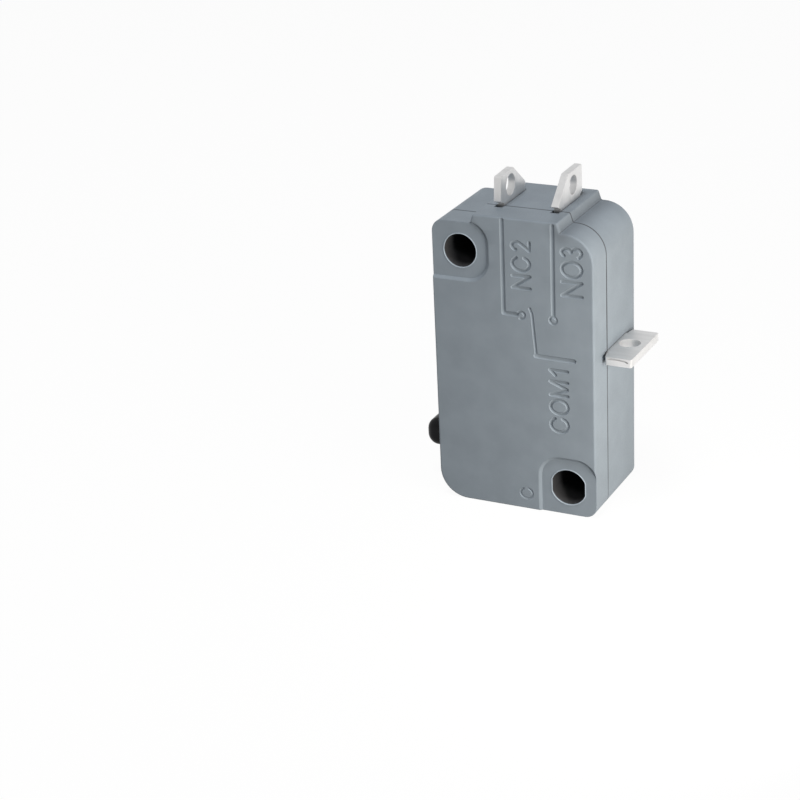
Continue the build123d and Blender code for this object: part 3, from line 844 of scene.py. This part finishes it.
class SWITCH_OT_stage(bpy.types.Operator):
    """Set up the floor, the light and the camera"""

    bl_idname = "switch.stage"
    bl_label = "Stage"

    def execute(self, context):
        settings = context.scene.switch_stage
        self.floor()
        self.room(context.scene, settings.room)
        lamps = (
            ("side_light", settings.side, (0.045, -0.02, 0.018), 0.026, WARM),
            ("groove_light", settings.groove, (0.25, -0.16, 0.05), 0.05, WHITE),
            ("front_light", settings.front, (0.08, -0.25, 0.3), 0.08, WHITE),
            ("top_light", settings.top, (-0.02, -0.09, 0.34), 0.1, WHITE),
        )
        for name, power, place, size, colour in lamps:
            self.lamp(name, power, Vector(place), size, colour)
        self.camera(context.scene, settings)
        context.scene.view_settings.view_transform = "Standard"
        return {"FINISHED"}

    def floor(self):
        """A pale floor: bright to the camera, and it still takes the shadow."""
        mesh = bpy.data.meshes.new("floor")
        signs = ((-1, -1), (1, -1), (1, 1), (-1, 1))
        corners = [(x * FLOOR_HALF, y * FLOOR_HALF, 0) for x, y in signs]
        mesh.from_pydata(corners, [], [(0, 1, 2, 3)])
        floor = new_piece("floor", mesh)
        floor.location.z = -FLOOR_GAP
        material, tree, shader = new_material("floor_white", 0.9)
        rays = tree.nodes.new("ShaderNodeLightPath")
        camera, glossy = rays.outputs["Is Camera Ray"], rays.outputs["Is Glossy Ray"]
        # Pale and a little uneven, throwing less light up at the switch
        pale = maths(tree, "ADD", maths(tree, "MULTIPLY", noise(tree, 6), 0.04), 0.86)
        bounce = maths(tree, "MULTIPLY", rays.outputs["Is Diffuse Ray"], 0.7)
        pale = maths(tree, "MULTIPLY", pale, maths(tree, "SUBTRACT", 1.0, bounce))
        tree.links.new(pale, shader.inputs["Base Color"])
        shader.inputs["Specular IOR Level"].default_value = 0.0
        # What shiny things see of it dims with the distance in front of the switch
        place = tree.nodes.new("ShaderNodeTexCoord")
        split = tree.nodes.new("ShaderNodeSeparateXYZ")
        tree.links.new(place.outputs["Object"], split.inputs[0])
        fading = near(tree, maths(tree, "MULTIPLY", split.outputs[1], -1.0), 0.03, 0.09)
        shiny = maths(tree, "ADD", maths(tree, "MULTIPLY", fading, 0.32), 0.66)
        shiny = maths(tree, "MULTIPLY", shiny, glossy)
        glow = tree.nodes.new("ShaderNodeEmission")
        tree.links.new(maths(tree, "MAXIMUM", shiny, camera), glow.inputs["Strength"])
        # The shadow shows through the twentieth that isn't glow
        mix = tree.nodes.new("ShaderNodeMixShader")
        seen = maths(tree, "MAXIMUM", camera, glossy)
        tree.links.new(maths(tree, "MULTIPLY", seen, 0.95), mix.inputs[0])
        tree.links.new(shader.outputs[0], mix.inputs[1])
        tree.links.new(glow.outputs[0], mix.inputs[2])
        tree.links.new(mix.outputs[0], tree.nodes["Material Output"].inputs["Surface"])
        mesh.materials.append(material)

    def room(self, scene, strength):
        """Even white light; the camera and shiny things see plain white."""
        world = bpy.data.worlds.new("white_room")
        scene.world = world
        world.use_nodes = True
        tree = world.node_tree
        tree.nodes.clear()
        dim = tree.nodes.new("ShaderNodeBackground")
        dim.inputs["Strength"].default_value = strength
        bright = tree.nodes.new("ShaderNodeBackground")
        bright.inputs["Strength"].default_value = 1.0
        for shader in (dim, bright):
            shader.inputs["Color"].default_value = (*WHITE, 1.0)
        rays = tree.nodes.new("ShaderNodeLightPath")
        shiny = maths(tree, "MULTIPLY", rays.outputs["Is Glossy Ray"], 0.7)
        kinds = ("Is Camera Ray", "Is Transmission Ray")
        total = maths(tree, "MAXIMUM", shiny, *(rays.outputs[kind] for kind in kinds))
        mix = tree.nodes.new("ShaderNodeMixShader")
        tree.links.new(total, mix.inputs[0])
        tree.links.new(dim.outputs[0], mix.inputs[1])
        tree.links.new(bright.outputs[0], mix.inputs[2])
        out = tree.nodes.new("ShaderNodeOutputWorld")
        tree.links.new(mix.outputs[0], out.inputs["Surface"])

    def lamp(self, name, power, place, size, colour):
        """A square lamp that faces the switch and isn't seen itself."""
        data = bpy.data.lights.new(name, "AREA")
        data.energy = power
        data.color = colour
        data.size = size
        lamp = bpy.data.objects.new(name, data)
        lamp.location = place
        lamp.rotation_euler = (LAMPS_FACE - place).to_track_quat("-Z", "Y").to_euler()
        lamp.visible_camera = False
        lamp.visible_glossy = False
        bpy.context.scene.collection.objects.link(lamp)

    def camera(self, scene, settings):
        """The photograph's viewpoint, with the switch right of the middle."""
        turn, lift, roll = settings.azimuth, settings.elevation, settings.roll
        level = Vector((math.sin(turn), -math.cos(turn), 0))
        back = level * math.cos(lift) + Vector((0, 0, math.sin(lift)))
        right = (-back).cross(Vector((0, 0, 1))).normalized()
        up = right.cross(-back)
        across = right * math.cos(roll) + up * math.sin(roll)
        above = up * math.cos(roll) - right * math.sin(roll)
        data = bpy.data.cameras.new("camera")
        data.lens = settings.lens
        data.sensor_width = 36
        data.clip_start = 0.01
        data.clip_end = 10
        camera = bpy.data.objects.new("camera", data)
        placed = Matrix((across, above, back)).transposed().to_4x4()
        placed.translation = CAMERA_FACES + back * settings.distance
        camera.matrix_world = placed
        scene.collection.objects.link(camera)
        scene.camera = camera


class SWITCH_PT_panel(bpy.types.Panel):
    """Lists the steps that dress the switch"""

    bl_label = "Micro switch"
    bl_idname = "SWITCH_PT_panel"
    bl_space_type = "VIEW_3D"
    bl_region_type = "UI"
    bl_category = "Switch"

    def draw(self, context):
        for operator in OPERATORS:
            self.layout.operator(operator.bl_idname)


SETTINGS = {
    "switch_housing": HousingSettings,
    "switch_marking": MarkingSettings,
    "switch_blades": BladeSettings,
    "switch_stage": StageSettings,
}
OPERATORS = (
    SWITCH_OT_housing,
    SWITCH_OT_hole_lips,
    SWITCH_OT_wiring_symbol,
    SWITCH_OT_letters,
    SWITCH_OT_blades,
    SWITCH_OT_plunger,
    SWITCH_OT_contacts,
    SWITCH_OT_stage,
)


def register():
    """Add the settings, the steps and the panel."""
    for name, group in SETTINGS.items():
        bpy.utils.register_class(group)
        setattr(bpy.types.Scene, name, PointerProperty(type=group))
    for operator in OPERATORS:
        bpy.utils.register_class(operator)
    bpy.utils.register_class(SWITCH_PT_panel)


def unregister():
    """Take the panel, the steps and the settings away."""
    bpy.utils.unregister_class(SWITCH_PT_panel)
    for operator in reversed(OPERATORS):
        bpy.utils.unregister_class(operator)
    for name, group in reversed(SETTINGS.items()):
        delattr(bpy.types.Scene, name)
        bpy.utils.unregister_class(group)


def main():
    """Dress the switch and build the stage."""
    register()
    bpy.ops.switch.housing()
    bpy.ops.switch.hole_lips()
    bpy.ops.switch.wiring_symbol()
    bpy.ops.switch.letters()
    bpy.ops.switch.blades()
    bpy.ops.switch.plunger()
    bpy.ops.switch.contacts()
    bpy.ops.switch.stage()


if __name__ == "__main__":
    main()
